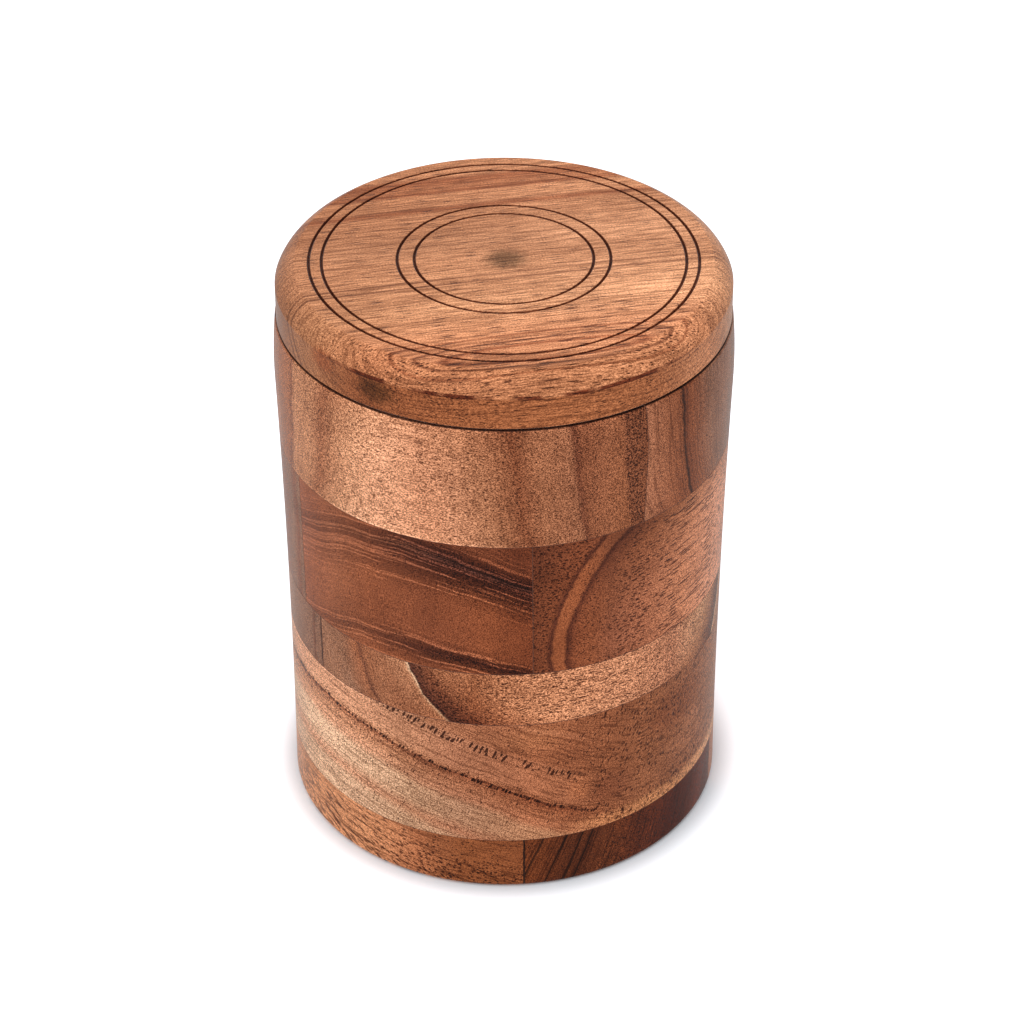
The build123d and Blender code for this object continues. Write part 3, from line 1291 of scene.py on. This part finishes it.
rim_right_wood = wood(
    "rim_right_wood", rim_ring_grain, round_rings(60, 130),
    [
        (50, grey_brown, 0.5), (70, grey_brown, 0.5), (78, rust, 0.5), (80.3, chestnut, 0.5),
        (81, coal, 0.3), (81.7, rust, 0.5), (92, salmon, 0.5), (100, tan, 0.5),
    ],
    across=[
        (-31, 0.8, 0.84, 0.86), (-20, 0.85, 0.76, 0.68), (-10, 1.05, 1.0, 0.98),
        (31, 1.0, 1.0, 1.04),
    ],
    wander=1.0, lines=(-0.15, -0.6), line_step=0.35, line_length=18.0, pepper=1.2,
    pore_spacing=0.5, pore_stretch=6.0, details=rim_edges,
)

# %% [markdown]
# ### Wood of the lid
# The lid shows long grain on its top: two fine dark lines in front of the middle, soft streaks
# behind it, loops like a cathedral window near the front edge and a small knot at the very
# middle. Its left and right shoulders are end grain and look olive, and their strong darkening
# also paints shade on the shoulders. The turned rings were burnished dark, which the attribute
# of the mesh gives. At the front a thin broken dark red line runs along the ridge between the
# shoulder and the edge, the edge below it is darker, and there is one greenish black stain at
# the left. A painted shadow darkens the lower edge, where the lid meets the rim.

# %% Marks of the lid
lid_spots = [
    ((0.4, -0.7, 147.5), (6.6, 5.8, 5.0), 0.8, (0.36, 0.36, 0.33)),
    ((-29.0, -45.4, 139.6), (6.4, 6.4, 4.2), 1.2, (0.36, 0.36, 0.3)),
    ((-41.2, -34.6, 141.0), (5.0, 5.0, 3.5), 1.2, (0.9, 0.7, 0.6)),
]
groove_shade = (0.2, 0.11, 0.08)
# Painted shadow: the dark ring where the lid's edge meets the rim.
painted_seam_shadow = (0.1, 0.07, 0.06)
seam_height = 0.3
edge_shade = (0.7, 0.58, 0.48)
ridge_shade = (0.28, 0.15, 0.12)
ridge_level = ridge[1] / mm


def lid_marks(finish, jar, board, colour):
    """The knot and two stains, the dark ridge line, the burnished rings and the painted shadow at the
    seam above the rim.
    """
    _, y, z = finish.split(jar)
    colour = spotted(finish, jar, colour, lid_spots)

    front = finish.fade(y, -30.0, -44.0)
    below = finish.fade(z, ridge_level + 0.1, ridge_level - 0.4)
    colour = finish.tint(finish.times(front, below), colour, edge_shade)
    # A thin broken dark red line along the ridge at the front.
    level = wavering(finish, jar, z, 0.1, 0.2)
    ridge_line = near_plane(finish, level, ridge_level, 0.36, 0.2)
    broken = finish.fade(finish.noise(jar, scale=0.13, detail=2.0), 0.38, 0.5)
    colour = finish.tint(finish.times(ridge_line, broken, front), colour, ridge_shade)

    depth = finish.node("Attribute", {"attribute_name": "cut"}).outputs["Fac"]
    full = finish.fade(finish.noise(jar, scale=0.8, detail=2.0, roughness=0.6), 0.3, 0.62, 0.06, 0.26)
    colour = finish.tint(finish.fade(depth, 0.02, full), colour, groove_shade)
    # Painted shadow along the lower edge of the lid, where it meets the rim.
    above = finish.minus(z, rim_top / mm)
    seam = finish.fade(above, seam_height, 0.6 * seam_height)
    return finish.tint(at_outer_edge(finish, jar, seam), colour, painted_seam_shadow)


# %% Finish of the lid
lid_grain = 12
# Stronger than on other boards: end grain's own darker tone, and painted shade on the shoulders.
lid_end_grain_and_shade = (0.52, 0.47, 0.42)
lid_wood = wood(
    "lid_wood", lid_grain, round_rings(-42, 152.5, bow=0.002),
    [
        (0, sand, 0.6),
        *thin_line(6.25, 6.45, 0.15, (sand, 0.8), (rust, 0.9)),
        *thin_line(7.2, 7.4, 0.15, (sand, 0.8), (walnut, 1.0)),
        *thin_line(9.15, 9.35, 0.15, (sand, 0.8), (rust, 0.8)),
        (30, sand, 0.6),
        *thin_line(33.3, 33.5, 0.2, (sand, 0.5), (walnut, 0.6)),
        *thin_line(35.6, 35.8, 0.2, (sand, 0.5), (walnut, 0.6)),
        (50, sand, 0.5), (66, sand, 0.5), (68, rust, 0.5), (70, sand, 0.5), (75, sand, 0.5),
        (76.3, rust, 0.5), (78, tan, 0.5), (82, rust, 0.4), (84, sand, 0.5), (100, sand, 0.4),
    ],
    across=[
        (-54, 1.0, 0.88, 0.78), (-36, 1.24, 1.09, 1.0), (-20, 1.4, 1.43, 1.4), (0, 1.08, 1.04, 1.0),
        (8, 1.08, 1.06, 1.04), (19, 0.96, 0.89, 0.83), (34, 1.08, 1.0, 0.93),
    ],
    along=[
        (-40, 0.85, 0.8, 0.76), (-15, 0.96, 0.93, 0.9), (15, 1.04, 1.04, 1.04),
        (40, 1.12, 1.14, 1.15),
    ],
    wander=0.9, tremor=0.15, lines=(-0.15, -0.4), line_step=0.5, pepper=0.6, fibre=1.2,
    pore_spacing=0.48, pore_stretch=13.0, end_shade=lid_end_grain_and_shade, details=lid_marks,
)

# %% [markdown]
# ### Seal and glue
# The seal is milky silicone. The eased edges of the boards take a thin brown line, which is
# glue with a little wax over it.

# %% Finishes of the seal and of the glue lines
seal = Finish("milky_silicone")
cloud = seal.noise(seal.node("TexCoord").outputs["Object"], scale=400.0)
milky = seal.surface((0.83, 0.83, 0.8, 1.0), seal.fade(cloud, 0.3, 0.7, 0.38, 0.5))
seal_silicone = seal.done(milky)
glue = Finish("glue_line")
glue_line = glue.done(glue.surface((*tone(104, 60, 42), 1.0), 0.6))

# %% Give every piece its finish
finishes = {
    base_left: base_left_wood,
    base_middle: base_middle_wood,
    base_right: base_right_wood,
    lower_ring: lower_ring_wood,
    thin_front: thin_front_wood,
    thin_back: thin_back_wood,
    middle_right: middle_right_wood,
    middle_back: middle_front_wood,
    middle_left: middle_left_wood,
    middle_front: middle_front_wood,
    rim_front: rim_front_wood,
    rim_right: rim_right_wood,
    rim_back: rim_front_wood,
    rim_left: rim_right_wood,
    lid_disc: lid_wood,
    lid_plug: lid_wood,
    lid_seal: seal_silicone,
}
for piece, finish in finishes.items():
    piece.data.materials.append(finish)
    piece.data.materials.append(glue_line)
print(len(finishes), "pieces have a finish")

# %% [markdown]
# ## The stage
# The jar stands on plain white paper in a bright soft room. The paper clips to white for the
# camera and is an ordinary light grey for every other ray, so it doesn't glare on the wood.
# What shadow is left lies close around the foot, and there an occlusion node also darkens the paper's
# colour as a painted contact shadow.
# From below the paper lets every ray through, and from above those that have hardly started.
# So a camera under the floor sees the jar's underside, in the light of the room.

# %% Floor
floor_size = 6.0
paper_gap = 0.05 * mm
floor_mesh = bpy.data.meshes.new("floor")
corners = np.array([(-1, -1, 0), (1, -1, 0), (1, 1, 0), (-1, 1, 0)]) * floor_size / 2 - (0, 0, paper_gap)
floor_mesh.from_pydata(corners.tolist(), [], [(0, 1, 2, 3)])
floor = bpy.data.objects.new("floor", floor_mesh)
bpy.context.scene.collection.objects.link(floor)

# %% Paper
contact_reach = 11 * mm
paper_bright = (1.72, 1.78, 1.86)
paper_grey = (0.8, 0.8, 0.8)
paper = Finish("white_paper")
light_path = paper.node("LightPath").outputs
# Painted contact shadow: an occlusion node darkens the paper's colour close to the jar.
painted_contact_shadow = paper.node("AmbientOcclusion", {"samples": 16}, Distance=contact_reach).outputs["AO"]
painted_contact_shadow = paper.fade(painted_contact_shadow, 0.45, 1.0, 0.5, 1.0)
bright = paper.tint(1.0, paper_bright, paper.join(painted_contact_shadow, painted_contact_shadow, painted_contact_shadow))
paper_colour = paper.blend(light_path["Is Camera Ray"], paper_grey, bright)
sheet = paper.surface(paper_colour, 0.9, Specular_IOR_Level=0.0)
started = paper.math("GREATER_THAN", light_path["Ray Length"], 6 * paper_gap)
from_above = paper.minus(1.0, paper.node("NewGeometry").outputs["Backfacing"])
solid = paper.times(started, from_above)
clear = paper.node("BsdfTransparent").outputs[0]
floor_mesh.materials.append(paper.done(paper.mix_shaders(solid, clear, sheet)))

# %% Light
room_level = 0.72
pure_white = (1, 1, 1, 1)
world = bpy.data.worlds.new("soft_room")
bpy.context.scene.world = world
sky = Graph(world)
room = sky.node("Background", Color=pure_white, Strength=room_level).outputs[0]
backdrop = sky.node("Background", Color=pure_white, Strength=1.0).outputs[0]
seen = sky.node("LightPath").outputs["Is Camera Ray"]
sky.node("OutputWorld", Surface=sky.mix_shaders(seen, room, backdrop))


def soft_lamp(name, place, target, size, power):
    """A square area lamp that points at a target."""
    lamp = bpy.data.lights.new(name, "AREA")
    lamp.size = size
    lamp.energy = power
    stand = bpy.data.objects.new(name, lamp)
    stand.location = place
    direction = np.array(target) - np.array(place)
    stand.rotation_euler = (
        math.atan2(math.hypot(direction[0], direction[1]), -direction[2]),
        0,
        math.atan2(-direction[0], direction[1]),
    )
    bpy.context.scene.collection.objects.link(stand)


soft_lamp("key_lamp", (-0.3, -0.75, 1.1), (0, 0, 0.07), 1.1, 6.0)
print("room at", room_level)

# %% [markdown]
# ## The camera
# The view is from the front with a long lens, looking down by about 35 degrees.

# %% Camera
tilt, turn = 55.2, -0.171
camera_data = bpy.data.cameras.new("camera")
camera_data.lens = 108.07
camera_data.sensor_width = 36
camera = bpy.data.objects.new("camera", camera_data)
camera.location = (0, -0.62422, 0.50889)
camera.rotation_euler = (math.radians(tilt), 0, math.radians(turn))
bpy.context.scene.collection.objects.link(camera)
bpy.context.scene.camera = camera

bpy.context.scene.view_settings.view_transform = "Standard"
